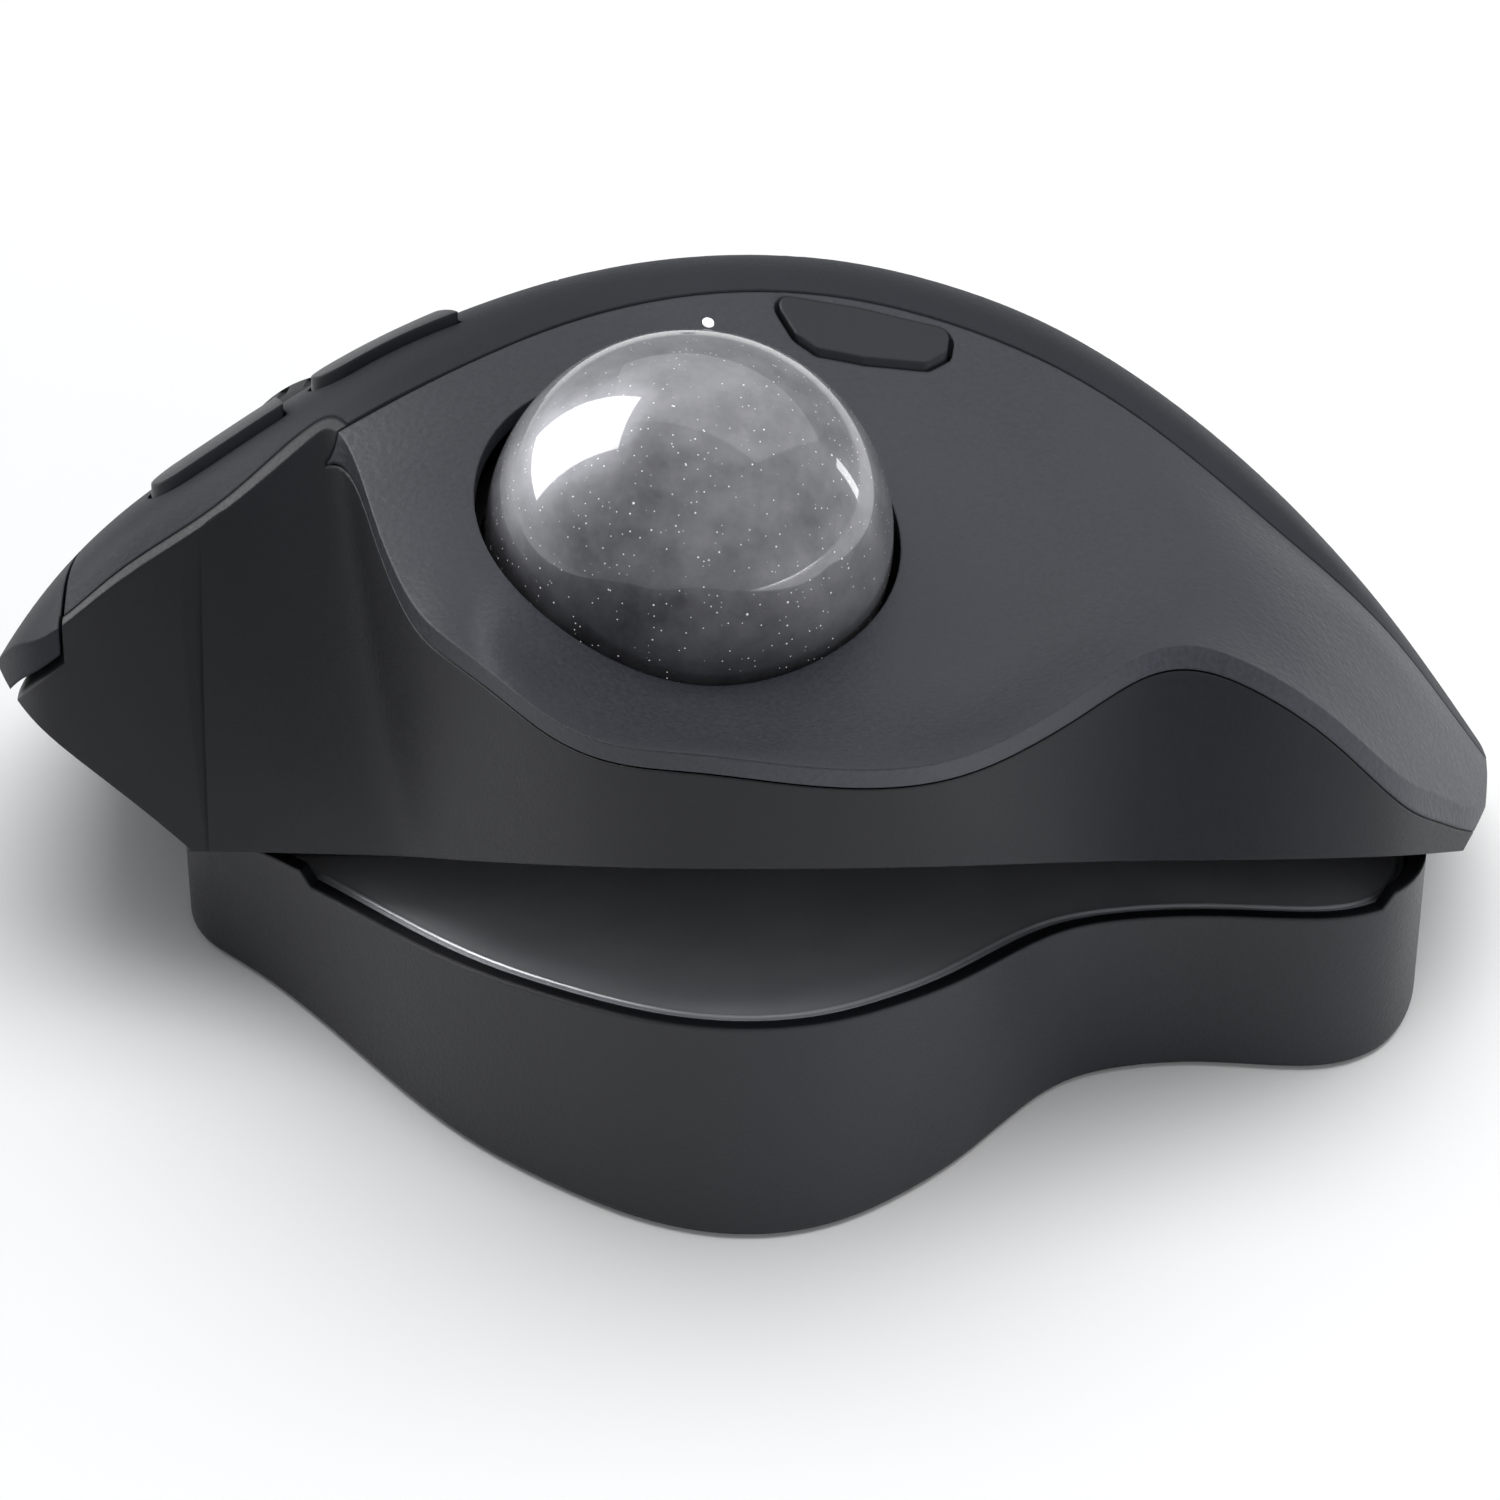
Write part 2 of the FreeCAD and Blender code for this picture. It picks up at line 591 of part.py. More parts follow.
def sensor_module():
    """Square optical sensor with its small board, behind the lens."""
    plate = Part.makeBox(12, 12, 1.2, V(-6, -6, 2.2))
    block = Part.makeBox(8, 8, 2.2, V(-4, -4, 0))
    module = plate.fuse(block).removeSplitter()
    turn = FreeCAD.Rotation(Z_AXIS, sensor_point(10) - BALL)
    module.Placement = FreeCAD.Placement(sensor_point(BALL_R + 3.3), turn)
    return module


# ---- scroll wheel ------------------------------------------------------------------
HUB_R = 8.4
AXLE_R = 1.5


def wheel_tyre():
    """Rubber tyre with grip grooves."""
    half = V(0, WHEEL_W / 2, 0)
    tyre = rod(WHEEL_R, WHEEL - half, WHEEL + half).cut(rod(HUB_R, WHEEL - half, WHEEL + half))
    tyre = tyre.makeFillet(0.9, [e for e in tyre.Edges if abs(e.Length - 2 * math.pi * WHEEL_R) < 0.1])
    for i in range(24):
        turn = math.radians(15.0 * i)
        spot = WHEEL + V(math.cos(turn), 0, math.sin(turn)) * (WHEEL_R + 0.25)
        tyre = tyre.cut(rod(0.6, spot - V(0, 2.2, 0), spot + V(0, 2.2, 0)))
    return tyre


def wheel_hub():
    half = V(0, WHEEL_W / 2, 0)
    hub = rod(HUB_R, WHEEL - half, WHEEL + half)
    hub = hub.cut(rod(HUB_R - 1.6, WHEEL + V(0, 1.2, 0), WHEEL + half))
    hub = hub.cut(rod(HUB_R - 1.6, WHEEL - half, WHEEL - V(0, 1.2, 0)))
    hub = hub.fuse(rod(2.8, WHEEL - half, WHEEL + half))
    return biggest(hub.cut(rod(AXLE_R + 0.1, WHEEL - half, WHEEL + half)).removeSplitter())


CARRIER_Y = (WHEEL.y - 5.2, WHEEL.y + 5.2)


def wheel_axle():
    return rod(AXLE_R, V(WHEEL.x, CARRIER_Y[0], WHEEL.z), V(WHEEL.x, CARRIER_Y[1], WHEEL.z))


def wheel_carrier():
    """Yoke that holds the axle; it is what a press on the wheel moves down."""
    low = WHEEL.z - 15.0
    yoke = box((WHEEL.x - 2.2, WHEEL.x + 2.2), CARRIER_Y, (low, WHEEL.z + 1.9))
    yoke = yoke.cut(box((WHEEL.x - 9, WHEEL.x + 9), (WHEEL.y - 3.7, WHEEL.y + 3.7), (low + 2.4, 60)))
    return yoke.cut(wheel_axle())


def wheel_cradle():
    """Side-tilting frame below the yoke, on a pin along the body."""
    low = WHEEL.z - 18.4
    return box((WHEEL.x - 6, WHEEL.x + 6), (WHEEL.y - 3, WHEEL.y + 3), (low, low + 2.4))


# ---- electronics -----------------------------------------------------------------
BOARD_Z = 8.0
BOARD_T = 1.2
SWITCH_H = 6.0
SWITCH_TOP = BOARD_Z + BOARD_T + SWITCH_H
PLUNGER_R = 0.8
SWITCHES = {"left": (-47.3, 15.0), "right": (-47.3, 34.5)}
HATCH_INSET = 5.0
HATCH_FRONT = -46.0
HATCH_SCREWS = ((-38.0, 12.0), (48.0, 14.0), (8.0, 17.0))
MAIN_BOARD = ((-14.0, 50.0), (21.0, 40.0), (6.0, 7.2))


def front_board():
    return box((-50.2, -44.4), (8.0, 44.0), (BOARD_Z, BOARD_Z + BOARD_T))


def click_switch(side):
    x, y = SWITCHES[side]
    housing = box((x - 2.9, x + 2.9), (y - 5.6, y + 5.6), (BOARD_Z + BOARD_T, SWITCH_TOP))
    return housing.cut(rod(PLUNGER_R + 0.1, V(x, y, SWITCH_TOP - 1.2), V(x, y, SWITCH_TOP)))


def switch_plunger(side):
    x, y = SWITCHES[side]
    return rod(PLUNGER_R, V(x, y, SWITCH_TOP), V(x, y, SWITCH_TOP + 0.6))


def main_board():
    return box(*MAIN_BOARD)


def battery():
    return box((0.0, 36.0), (22.0, 39.0), (MAIN_BOARD[2][1] + 0.4, MAIN_BOARD[2][1] + 7.0))


def charging_port_box(growth):
    """Inlet at the nose, between the two click buttons."""
    return box((-62.4, -52.0), (22.0 - growth, 30.0 + growth), (8.2 - growth, 11.2 + growth))


def charging_port():
    outer = charging_port_box(0).common(outline_prism(0.6)).common(above_bottom(0.4))
    return biggest(outer.cut(box((-70, -54.0), (22.8, 29.2), (8.9, 10.5))))


def power_slot(growth):
    return box((24.0 - growth, 31.0 + growth + 3.0), (10.0 - growth, 14.0 + growth), (-3, 4))


def power_switch():
    """Slider in the underside, with a grip ridge."""
    slider = box((24.0, 31.0), (10.0, 14.0), (0.3, 2.6))
    for x in (26.0, 27.5, 29.0):
        slider = slider.cut(rod(0.3, V(x, 9.0, 0.2), V(x, 15.0, 0.2)))
    return slider


def hatch_screws():
    screws = []
    for x, y in HATCH_SCREWS:
        head = rod(2.0, V(x, y, 2.0), V(x, y, 3.4))
        screws.append(head.fuse(rod(1.1, V(x, y, 0.6), V(x, y, 2.0))).removeSplitter())
    return Part.makeCompound(screws)


# ---- base ------------------------------------------------------------------------
# Plan of the base, clockwise from its rear end along the thumb side.
BASE = (
    (58.3, 4.0), (57.4, -3.6), (55.9, -8.2), (53.4, -11.7), (49.2, -13.9), (44.6, -14.1), (38.2, -13.6),
    (32.3, -14.1), (27.1, -15.9), (21.8, -20.9), (16.6, -27.1), (12.3, -31.0), (5.7, -35.0), (-1.6, -36.0),
    (-8.2, -34.3), (-15.6, -30.0), (-22.5, -24.6), (-34.1, -11.2), (-44.6, 0.6), (-47.6, 3.6), (-49.2, 7.0),
    (-49.6, 11.0), (-48.2, 17.0), (-42.0, 21.4), (-28.0, 23.2), (0.0, 23.6), (30.0, 23.2), (46.0, 21.8),
    (54.6, 17.8), (57.8, 11.5),
)
RIDGE_Z = 12.6            # the plate's ridge, just under the tilt axis
RIM_W = 1.5
PLATE_T = 2.0
PLATE_DROP = 0.4          # the plate lies this far below the rubber rim
END_RISE = 1.2            # the rim stands up this much more at both ends
END_FOOT = 14.0           # from this height the raised ends slope down to the rim
FRONT_END = -36.5
REAR_END = 51.0


def base_prism(amount, low=0.0, high=40.0):
    return Part.Face(Part.Wire([ring(inset(BASE, amount), low)])).extrude(V(0, 0, high - low))


def below_facets(drop):
    """Everything under the two facets that the body rocks between."""
    right = math.tan(math.radians(REST_TILT))
    top = RIDGE_Z - drop
    profile = [V(-FAR, -FAR, top + LEFT_FACET * FAR), V(-FAR, 0, top), V(-FAR, FAR, top - right * FAR),
               V(-FAR, FAR, -FAR), V(-FAR, -FAR, -FAR), V(-FAR, -FAR, top + LEFT_FACET * FAR)]
    return Part.Face(Part.Wire(lines(profile))).extrude(V(2 * FAR, 0, 0))


def end_zones(growth):
    """The thumb-side stretches at the front and rear where the rim slopes up."""
    zones = []
    for end, far in ((FRONT_END + growth, -FAR), (REAR_END - growth, FAR)):
        away = math.copysign(20.0, far)
        profile = [V(end, -FAR, -FAR), V(end, -FAR, END_FOOT), V(end + away, -FAR, END_FOOT + 20.0),
                   V(far, -FAR, END_FOOT + 20.0), V(far, -FAR, -FAR), V(end, -FAR, -FAR)]
        zones.append(Part.Face(Part.Wire(lines(profile))).extrude(V(0, FAR + 1.0 + growth, 0)))
    return zones[0].fuse(zones[1])


def end_pockets(wall):
    """Recesses in the body's underside that swallow the raised rim ends."""
    inner = -END_RISE - 0.8 - wall
    solid = base_prism(-0.8 - wall).common(below_facets(inner)).common(end_zones(0.8 + wall))
    solid = solid.cut(base_prism(RIM_W + 0.8 + wall))
    solid.translate(V(0, 0, -HINGE_Z))
    return solid


def base_tray():
    """Rubber-covered wedge with a rim round the steel plate, hollow underneath."""
    tray = base_prism(0, 0.6).common(below_facets(0))
    ends = base_prism(0, 0.6).common(below_facets(-END_RISE)).common(end_zones(0)).cut(below_facets(0.1))
    tray = tray.fuse(ends)
    tray = tray.cut(base_prism(RIM_W).cut(below_facets(PLATE_T + PLATE_DROP)))
    tray = tray.cut(base_prism(3.2, 0.0).common(below_facets(PLATE_T + PLATE_DROP + 2.4)))
    return biggest(tray.removeSplitter())


def steel_plate():
    """Bent steel plate whose two facets are the two rest angles."""
    plate = base_prism(RIM_W + 0.35)
    return biggest(plate.common(below_facets(PLATE_DROP)).cut(below_facets(PLATE_DROP + PLATE_T)))


def foot_pad():
    """Non-slip pad that closes the wedge."""
    plug = base_prism(3.4, 0.0, 1.6).common(below_facets(PLATE_T + PLATE_DROP + 2.6))
    pad = plug.fuse(base_prism(1.2, 0.0, 0.5))
    return biggest(pad.removeSplitter())


def magnets():
    """Two magnets over the ridge that hold the body to the plate."""
    return {"magnet_front": rod(4.0, V(-20, 4.6, 2.1), V(-20, 4.6, 4.1)),
            "magnet_rear": rod(4.0, V(20, 4.6, 2.1), V(20, 4.6, 4.1))}


def lean(shape):
    """Put a body-frame shape onto the base at its rest tilt."""
    placed = shape.copy()
    placed.rotate(V(0, 0, 0), X_AXIS, -REST_TILT)
    placed.translate(V(0, 0, HINGE_Z))
    return placed


def build():
    body = Body()
    leaning = {
        "thumb_panel": thumb_panel(body),
        "lower_shell": lower_shell(body),
        "bottom_cover": bottom_cover(body),
        "palm_cover": palm_cover(body),
        "left_button": left_button(body),
        "right_button": right_button(body),
        "back_button": side_button("back_button"),
        "forward_button": side_button("forward_button"),
        "mode_button": mode_button(),
        "precision_button": precision_button(),
        "status_light": status_light(),
        "ball": ball_shell(),
        "ball_core": ball_core(),
        "ball_cup": ball_cup(),
        "sensor_lens": sensor_lens(),
        "sensor_module": sensor_module(),
        "wheel_tyre": wheel_tyre(),
        "wheel_hub": wheel_hub(),
        "wheel_axle": wheel_axle(),
        "wheel_carrier": wheel_carrier(),
        "wheel_cradle": wheel_cradle(),
        "front_board": front_board(),
        "main_board": main_board(),
        "battery": battery(),
        "charging_port": charging_port(),
        "power_switch": power_switch(),
        "hatch_screws": hatch_screws(),
    }
    for i, spot in enumerate(bead_spots()):
        leaning["support_bead_%d" % (i + 1)] = Part.makeSphere(BEAD_R, spot)
    for side in SWITCHES:
        leaning[side + "_switch"] = click_switch(side)
        leaning[side + "_plunger"] = switch_plunger(side)
    leaning.update(magnets())
    standing = {"base_tray": base_tray(), "steel_plate": steel_plate(), "foot_pad": foot_pad()}
    nodes = {name: lean(shape) for name, shape in leaning.items()}
    nodes.update(standing)
    return nodes


def main():
    os.makedirs("parts", exist_ok=True)
    for name, shape in build().items():
        shape.translate(V(-CENTRE_X, -CENTRE_Y, 0))
        print(name, shape.isValid(), len(shape.Solids), round(shape.Volume, 1))
        shape.exportStep("parts/%s.step" % name)


if __name__ == "__main__":
    main()
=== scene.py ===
import math

import bpy
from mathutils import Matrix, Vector


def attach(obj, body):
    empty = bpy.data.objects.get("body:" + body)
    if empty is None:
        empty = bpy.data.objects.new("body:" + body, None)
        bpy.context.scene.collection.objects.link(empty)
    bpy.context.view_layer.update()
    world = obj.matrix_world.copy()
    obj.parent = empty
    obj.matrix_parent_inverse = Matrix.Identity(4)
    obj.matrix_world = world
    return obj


GRAPHITE = (0.0120, 0.0126, 0.0154)      # the plastic's own colour, scaled for each part; the thumb panel's larger scale is partly painted light
MODULE_BLACK = (0.012, 0.012, 0.013)
WHITE = (1.0, 1.0, 1.0)

PEARL_SHADE = (0.10, 0.10, 0.111)        # the ball's resin, from its darkest cloud to its swirls
PEARL_CLOUD = (0.31, 0.31, 0.332)
PEARL_SWIRL = (0.42, 0.42, 0.45)
# cell size in metres, a flake's reach in its cell, share of cells that hold none
FLAKES = ((0.0016, 0.085, 0.55), (0.0009, 0.11, 0.62), (0.0005, 0.15, 0.60))

NOISE_LOW = 0.3           # most of a noise lies between these two
NOISE_HIGH = 0.7
BEVEL_SAMPLES = 4
BOARD_WEAVE = 700.0       # scale of the pattern that stands for the circuit board's glass

EDGE_R = 0.00027          # bead along the steel plate's edge, and how far in it lies
EDGE_IN = 0.0007
EDGE_STEPS = 420
EDGE_SIDES = 10

CAMERA_PLACE = (-0.00042, -0.35488, 0.2658)
CAMERA_TILT = 55.0        # degrees up from looking straight down
CAMERA_LENS = 120.0       # mm, on a sensor 36 mm wide
CAMERA_SENSOR = 36.0
CAMERA_CLIP = (0.02, 20.0)

FLOOR_HALF = 3.0
WORLD_STRENGTH = 0.36
SKY_TINT = (0.95, 0.97, 1.0, 1.0)

# place, the point it faces, width and height in metres, watts, and the rays that pass it by
LIGHTS = {
    "top_softbox": ((0.10, 0.0, 1.0), (0, 0, 0.03), (1.0, 1.0), 8.0, "glossy"),
    "left_window": ((-0.52, 0.26, 0.42), (0, 0, 0.04), (0.42, 0.66), 5.5, "diffuse"),
    "right_strip": ((0.72, 0.36, 0.12), (0, 0, 0.03), (0.07, 0.22), 0.25, None),
    "sky_panel": ((0.20, 0.55, 0.95), (0, 0, 0.04), (1.8, 1.2), 3.8, None),
    "right_fill": ((0.72, -0.50, 0.10), (0, 0, 0.02), (0.5, 0.16), 4.5, "glossy"),
}

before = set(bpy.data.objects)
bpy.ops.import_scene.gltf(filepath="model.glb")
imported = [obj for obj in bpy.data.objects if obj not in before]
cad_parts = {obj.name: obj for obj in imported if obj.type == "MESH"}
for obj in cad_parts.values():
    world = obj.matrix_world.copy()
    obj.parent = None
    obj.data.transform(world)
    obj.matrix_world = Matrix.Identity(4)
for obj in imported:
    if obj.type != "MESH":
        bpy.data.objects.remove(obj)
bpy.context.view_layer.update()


# ---------------------------------------------------------------- material building

class Recipe:
    """One material and the nodes that feed its shader."""

    def __init__(self, name):
        self.material = bpy.data.materials.new(name)
        self.material.use_nodes = True
        self.nodes = self.material.node_tree.nodes
        self.links = self.material.node_tree.links
        self.shader = self.nodes["Principled BSDF"]
        self.place = self.nodes.new("ShaderNodeTexCoord").outputs["Object"]

    def set(self, **values):
        for name, value in values.items():
            self.shader.inputs[name.replace("_", " ")].default_value = value

    def feed(self, source, socket):
        self.links.new(source, self.shader.inputs[socket])

    def noise(self, size, detail=3.0, roughness=0.5):
        """Cloudy noise with features about size metres across."""
        node = self.nodes.new("ShaderNodeTexNoise")
        node.inputs["Scale"].default_value = 1.0 / size
        node.inputs["Detail"].default_value = detail
        node.inputs["Roughness"].default_value = roughness
        self.links.new(self.place, node.inputs["Vector"])
        return node.outputs["Fac"]

    def cells(self, size, output="Distance"):
        """Cells about size metres across."""
        node = self.nodes.new("ShaderNodeTexVoronoi")
        node.inputs["Scale"].default_value = 1.0 / size
        self.links.new(self.place, node.inputs["Vector"])
        return node.outputs[output]

    def spread(self, source, low, high, to_low, to_high):
        """Source from low..high stretched to to_low..to_high, and held there."""
        node = self.nodes.new("ShaderNodeMapRange")
        self.links.new(source, node.inputs["Value"])
        for socket, value in (("From Min", low), ("From Max", high),
                              ("To Min", to_low), ("To Max", to_high)):
            node.inputs[socket].default_value = value
        return node.outputs["Result"]

    def vary(self, noise, low=0.0, high=1.0):
        """The usual reach of a noise stretched to low..high."""
        return self.spread(noise, NOISE_LOW, NOISE_HIGH, low, high)

    def math(self, operation, first, second):
        node = self.nodes.new("ShaderNodeMath")
        node.operation = operation
        for socket, value in zip(node.inputs, (first, second)):
            if isinstance(value, float):
                socket.default_value = value
            else:
                self.links.new(value, socket)
        return node.outputs["Value"]

    def mix(self, factor, first, second):
        """A colour between first and second, which are colours or sockets."""
        node = self.nodes.new("ShaderNodeMix")
        node.data_type = "RGBA"
        self.links.new(factor, node.inputs["Factor"])
        for socket, value in ((node.inputs[6], first), (node.inputs[7], second)):
            if isinstance(value, tuple):
                socket.default_value = (*value, 1.0)
            else:
                self.links.new(value, socket)
        return node.outputs[2]

    def bump(self, height, depth, edge=0.0):
        """Relief of depth metres, over edges softened to the radius edge."""
        node = self.nodes.new("ShaderNodeBump")
        node.inputs["Distance"].default_value = depth
        self.links.new(height, node.inputs["Height"])
        if edge:
            rounding = self.nodes.new("ShaderNodeBevel")
            rounding.samples = BEVEL_SAMPLES
            rounding.inputs["Radius"].default_value = edge
            self.links.new(rounding.outputs["Normal"], node.inputs["Normal"])
        self.feed(node.outputs["Normal"], "Normal")


def tinted(tone, amount):
    return tuple(channel * amount for channel in tone)


def moulded(name, tone, gloss, grain, depth, specular=0.35, edge=0.0003):
    """Moulded plastic or rubber with a spark-eroded grain, grain metres across and depth deep."""
    recipe = Recipe(name)
    drift = recipe.noise(0.018, detail=4.0)
    fleck = recipe.noise(grain * 0.9, detail=2.0, roughness=0.6)
    pebble = recipe.cells(grain * 1.6)
    shade = recipe.mix(recipe.vary(drift), tinted(tone, 0.88), tinted(tone, 1.10))
    shade = recipe.mix(recipe.spread(fleck, 0.35, 0.75, 0.0, 0.55), shade, tinted(tone, 1.5))
    recipe.feed(shade, "Base Color")
    rough = recipe.math("ADD", recipe.vary(drift, -0.035, 0.035),
                        recipe.vary(fleck, gloss - 0.05, gloss + 0.07))
    recipe.feed(rough, "Roughness")
    recipe.set(Specular_IOR_Level=specular)
    height = recipe.math("ADD", recipe.math("MULTIPLY", pebble, 0.7), fleck)
    recipe.bump(height, depth, edge)
    return recipe.material


def metal(name, tone, gloss, brushed, bare=1.0):
    """Bare or plated metal, its scratches brushed times longer along X than across."""
    recipe = Recipe(name)
    stretch = recipe.nodes.new("ShaderNodeMapping")
    stretch.inputs["Scale"].default_value = (1.0, brushed, brushed)
    recipe.links.new(recipe.place, stretch.inputs["Vector"])
    recipe.place = stretch.outputs["Vector"]
    line = recipe.noise(0.004, detail=4.0, roughness=0.7)
    recipe.feed(recipe.mix(line, tinted(tone, 0.85), tinted(tone, 1.1)), "Base Color")
    recipe.feed(recipe.vary(line, gloss * 0.8, gloss * 1.25), "Roughness")
    recipe.set(Metallic=bare)
    recipe.bump(line, depth=0.000004, edge=0.0002)
    return recipe.material


def steel_with_painted_light(name):
    """Satin steel coloured light grey, far paler than the dark plate: painted light that stands in
    for the light and reflections it catches.
    """
    recipe = Recipe(name)
    blotch = recipe.noise(0.010, detail=5.0, roughness=0.6)
    speck = recipe.noise(0.0003, detail=2.0)
    # the light grey is painted light: the plate is dark steel, and this pale tone stands in for the
    # light it catches; the blotches are the steel's own uneven tone
    tone = recipe.mix(recipe.vary(blotch), (0.66, 0.665, 0.69), (0.76, 0.765, 0.79))
    recipe.feed(tone, "Base Color")
    recipe.feed(recipe.vary(blotch, 0.36, 0.46), "Roughness")
    recipe.set(Metallic=0.15, Specular_IOR_Level=0.6)
    recipe.bump(speck, depth=0.000003, edge=0.0002)
    return recipe.material


def pearl(name):
    """Grey pearl resin under clear lacquer, with soft clouds and mica flakes of three sizes; the
    flakes glow, a painted glint.
    """
    recipe = Recipe(name)
    cloud = recipe.noise(0.013, detail=6.0, roughness=0.62)
    swirl = recipe.noise(0.0035, detail=4.0, roughness=0.6)
    body = recipe.mix(recipe.spread(cloud, 0.32, 0.68, 0.0, 1.0), PEARL_SHADE, PEARL_CLOUD)
    body = recipe.mix(recipe.spread(swirl, 0.40, 0.75, 0.0, 0.35), body, PEARL_SWIRL)
    sparkle = None
    for size, reach, empty in FLAKES:
        near = recipe.spread(recipe.cells(size), 0.0, reach, 1.0, 0.0)
        chosen = recipe.nodes.new("ShaderNodeSeparateColor")
        recipe.links.new(recipe.cells(size, "Color"), chosen.inputs["Color"])
        lit = recipe.spread(chosen.outputs["Red"], empty, empty + 0.05, 0.0, 1.0)
        flake = recipe.math("MULTIPLY", near, lit)
        sparkle = flake if sparkle is None else recipe.math("MAXIMUM", sparkle, flake)
    recipe.feed(recipe.mix(sparkle, body, WHITE), "Base Color")
    # the flakes also glow white: painted glints
    recipe.feed(recipe.spread(sparkle, 0.0, 1.0, 0.0, 0.9), "Emission Strength")
    recipe.feed(recipe.vary(cloud, 0.34, 0.46), "Roughness")
    recipe.set(Emission_Color=(*WHITE, 1.0), Metallic=0.60,
               Coat_Weight=1.0, Coat_Roughness=0.02, Coat_IOR=1.75)
    return recipe.material


def ceramic(name):
    """Polished cream bead."""
    recipe = Recipe(name)
    grain = recipe.noise(0.0004, detail=2.0)
    recipe.feed(recipe.mix(grain, (0.60, 0.60, 0.58), (0.78, 0.78, 0.75)), "Base Color")
    recipe.feed(recipe.vary(grain, 0.12, 0.22), "Roughness")
    recipe.bump(grain, depth=0.000004)
    return recipe.material


def glowing(name):
    """The diffuser over a lit white indicator."""
    recipe = Recipe(name)
    grain = recipe.noise(0.0003, detail=2.0)
    recipe.feed(recipe.mix(grain, (0.82, 0.84, 0.86), (0.95, 0.96, 0.97)), "Base Color")
    recipe.feed(recipe.vary(grain, 0.20, 0.30), "Roughness")
    recipe.set(Emission_Color=(0.93, 0.96, 1.0, 1.0), Emission_Strength=0.7)
    return recipe.material


def clear(name):
    """Moulded acrylic lens."""
    recipe = Recipe(name)
    grain = recipe.noise(0.001, detail=2.0)
    recipe.feed(recipe.vary(grain, 0.02, 0.05), "Roughness")
    recipe.set(Base_Color=(0.90, 0.93, 0.95, 1.0), Transmission_Weight=0.9, IOR=1.49)
    return recipe.material


def board(name):
    """Solder-masked circuit board with the weave of its glass showing faintly."""
    recipe = Recipe(name)
    weave = recipe.nodes.new("ShaderNodeTexBrick")
    weave.inputs["Scale"].default_value = BOARD_WEAVE
    weave.inputs["Color1"].default_value = (0.010, 0.075, 0.035, 1.0)
    weave.inputs["Color2"].default_value = (0.014, 0.090, 0.042, 1.0)
    weave.inputs["Mortar"].default_value = (0.008, 0.060, 0.028, 1.0)
    recipe.links.new(recipe.place, weave.inputs["Vector"])
    recipe.feed(weave.outputs["Color"], "Base Color")
    recipe.feed(recipe.spread(weave.outputs["Fac"], 0.0, 1.0, 0.28, 0.36), "Roughness")
    recipe.bump(weave.outputs["Fac"], depth=0.00001)
    return recipe.material


def foil(name):
    """Creased shrink wrap."""
    recipe = Recipe(name)
    crease = recipe.noise(0.006, detail=6.0, roughness=0.7)
    recipe.feed(recipe.mix(crease, (0.30, 0.32, 0.36), (0.48, 0.50, 0.54)), "Base Color")
    recipe.feed(recipe.vary(crease, 0.22, 0.40), "Roughness")
    recipe.set(Metallic=0.6)
    recipe.bump(crease, depth=0.0002)
    return recipe.material


FINISHES = {
    "top_plastic": moulded("graphite_top", tinted(GRAPHITE, 1.7), gloss=0.55,
                           grain=0.00030, depth=0.000016, specular=0.15),
    # the thumb panel's graphite is partly painted light: brighter than the top's, a lit copy
    # standing in for the light from the right and above
    "thumb_plastic": moulded("graphite_thumb_painted_light", tinted(GRAPHITE, 2.7), gloss=0.46,
                             grain=0.00046, depth=0.000045),
    "shell_plastic": moulded("graphite_shell", tinted(GRAPHITE, 0.75), gloss=0.50,
                             grain=0.00026, depth=0.000012),
    "key_plastic": moulded("graphite_key", tinted(GRAPHITE, 1.3), gloss=0.42,
                           grain=0.00022, depth=0.000006, edge=0.0004),
    "base_rubber": moulded("graphite_base", tinted(GRAPHITE, 1.05), gloss=0.42,
                           grain=0.00032, depth=0.000022, specular=0.4, edge=0.0006),
    "pad_rubber": moulded("pad_rubber", tinted(GRAPHITE, 0.70), gloss=0.80,
                          grain=0.00080, depth=0.000080),
    "tyre_rubber": moulded("tyre_rubber", tinted(GRAPHITE, 0.55), gloss=0.62,
                           grain=0.00025, depth=0.000020, edge=0.0002),
    "module_black": moulded("module_black", MODULE_BLACK, gloss=0.35,
                            grain=0.00030, depth=0.000006),
    "plate_steel": steel_with_painted_light("plate_steel"),
    "pin_steel": metal("pin_steel", (0.58, 0.58, 0.60), gloss=0.20, brushed=3.0),
    "magnet_nickel": metal("magnet_nickel", (0.62, 0.60, 0.56), gloss=0.16, brushed=2.0),
    "port_steel": metal("port_steel", (0.45, 0.46, 0.48), gloss=0.30, brushed=4.0),
    "ball_resin": pearl("ball_resin"),
    "bead_ceramic": ceramic("bead_ceramic"),
    "light_clear": glowing("light_clear"),
    "lens_clear": clear("lens_clear"),
    "board_fr4": board("board_fr4"),
    "cell_foil": foil("cell_foil"),
}


def finish_nodes():
    """Every CAD node takes the finish of the slot its own material names."""
    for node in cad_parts.values():
        for holder in node.material_slots:
            slot_name = holder.material.name.split(".")[0]
            holder.material = FINISHES[slot_name]


# ---------------------------------------------------------------- rolled edge of the plate

def top_outline(node, upward=0.5):
    """The closed loop of points round the upward faces of a node's mesh, in order."""
    mesh = node.data
    used = {}
    for face in mesh.polygons:
        if face.normal.z < upward:
            continue
        corners = [tuple(round(v, 6) for v in mesh.vertices[i].co) for i in face.vertices]
        for a, b in zip(corners, corners[1:] + corners[:1]):
            if a != b:
                used[(a, b)] = True
    after = {a: b for a, b in used if (b, a) not in used}
    start = min(after)
    loop = [start]
    while after[loop[-1]] != start:
        loop.append(after[loop[-1]])
    return [Vector(point) for point in loop]


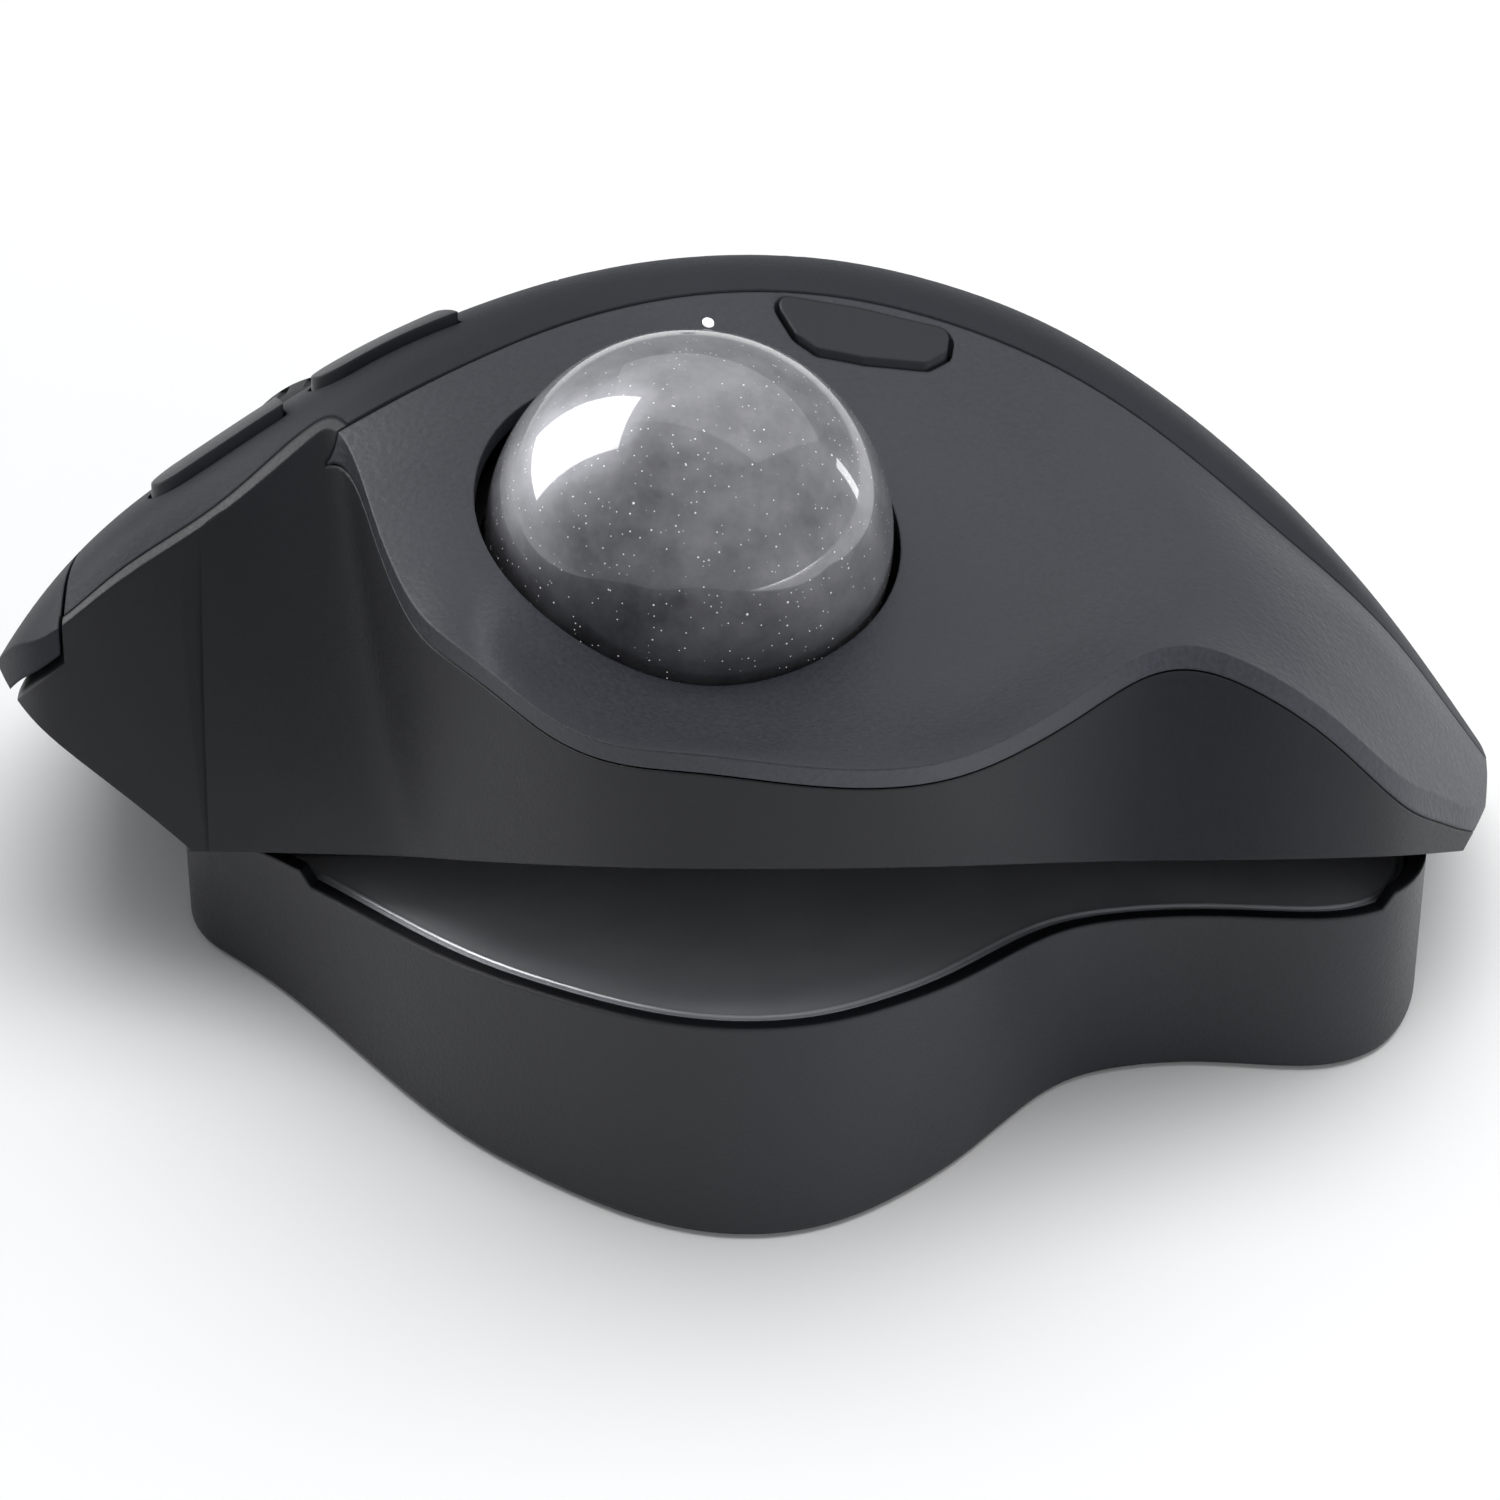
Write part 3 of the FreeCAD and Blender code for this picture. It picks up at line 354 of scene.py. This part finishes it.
def evenly(loop, count):
    """Count points at equal steps along a closed loop."""
    reach = [0.0]
    for a, b in zip(loop, loop[1:] + loop[:1]):
        reach.append(reach[-1] + (b - a).length)
    points = []
    k = 0
    for i in range(count):
        goal = reach[-1] * i / count
        while reach[k + 1] < goal:
            k += 1
        share = (goal - reach[k]) / max(reach[k + 1] - reach[k], 1e-9)
        points.append(loop[k].lerp(loop[(k + 1) % len(loop)], share))
    return points


def plate_edge():
    """Bright bead where the plate's cut edge catches the light inside the rubber rim."""
    up = Vector((0, 0, 1))
    turns = [2 * math.pi * k / EDGE_SIDES for k in range(EDGE_SIDES)]
    loop = evenly(top_outline(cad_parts["steel_plate"]), EDGE_STEPS)
    points = []
    for i, point in enumerate(loop):
        along = (loop[(i + 1) % EDGE_STEPS] - loop[i - 1]).normalized()
        inward = up.cross(along).normalized()
        middle = point + inward * EDGE_IN
        points += [middle + inward * EDGE_R * math.cos(a) + up * EDGE_R * math.sin(a)
                   for a in turns]
    faces = []
    for i in range(EDGE_STEPS):
        row = i * EDGE_SIDES
        next_row = (i + 1) % EDGE_STEPS * EDGE_SIDES
        for k in range(EDGE_SIDES):
            m = (k + 1) % EDGE_SIDES
            faces.append((row + k, next_row + k, next_row + m, row + m))
    mesh = bpy.data.meshes.new("plate_edge")
    mesh.from_pydata(points, [], faces)
    mesh.polygons.foreach_set("use_smooth", [True] * len(faces))
    mesh.update()
    bead = bpy.data.objects.new("plate_edge", mesh)
    bpy.context.scene.collection.objects.link(bead)
    mesh.materials.append(metal("plate_edge", (0.62, 0.63, 0.65), gloss=0.36, brushed=1.0,
                                bare=0.45))
    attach(bead, "base")


# ---------------------------------------------------------------- studio and camera

def area_light(name, place, aim, size, power, unseen_by):
    data = bpy.data.lights.new(name, "AREA")
    data.shape = "RECTANGLE"
    data.size, data.size_y = size
    data.energy = power
    lamp = bpy.data.objects.new(name, data)
    lamp.location = place
    lamp.rotation_euler = (Vector(aim) - Vector(place)).to_track_quat("-Z", "Y").to_euler()
    bpy.context.scene.collection.objects.link(lamp)
    if unseen_by:
        setattr(lamp, "visible_" + unseen_by, False)


def studio():
    """White paper floor, a pale sky and the lights."""
    ground = bpy.data.meshes.new("floor")
    corners = [(x * FLOOR_HALF, y * FLOOR_HALF, 0) for x, y in ((-1, -1), (1, -1), (1, 1), (-1, 1))]
    ground.from_pydata(corners, [], [(0, 1, 2, 3)])
    floor = bpy.data.objects.new("floor", ground)
    bpy.context.scene.collection.objects.link(floor)
    paper = Recipe("floor_paper")
    paper.set(Base_Color=(0.90, 0.90, 0.90, 1.0), Roughness=0.9, Specular_IOR_Level=0.1)
    ground.materials.append(paper.material)

    world = bpy.data.worlds.new("studio")
    world.use_nodes = True
    sky = world.node_tree.nodes["Background"]
    sky.inputs["Color"].default_value = SKY_TINT
    sky.inputs["Strength"].default_value = WORLD_STRENGTH
    bpy.context.scene.world = world

    for name, setting in LIGHTS.items():
        area_light(name, *setting)


def camera():
    """The photograph's camera."""
    data = bpy.data.cameras.new("photo_camera")
    data.lens = CAMERA_LENS
    data.sensor_width = CAMERA_SENSOR
    data.clip_start, data.clip_end = CAMERA_CLIP
    eye = bpy.data.objects.new("photo_camera", data)
    eye.location = CAMERA_PLACE
    eye.rotation_euler = (math.radians(CAMERA_TILT), 0.0, 0.0)
    bpy.context.scene.collection.objects.link(eye)
    bpy.context.scene.camera = eye


finish_nodes()
plate_edge()
studio()
camera()
bpy.context.scene.view_settings.view_transform = "Standard"
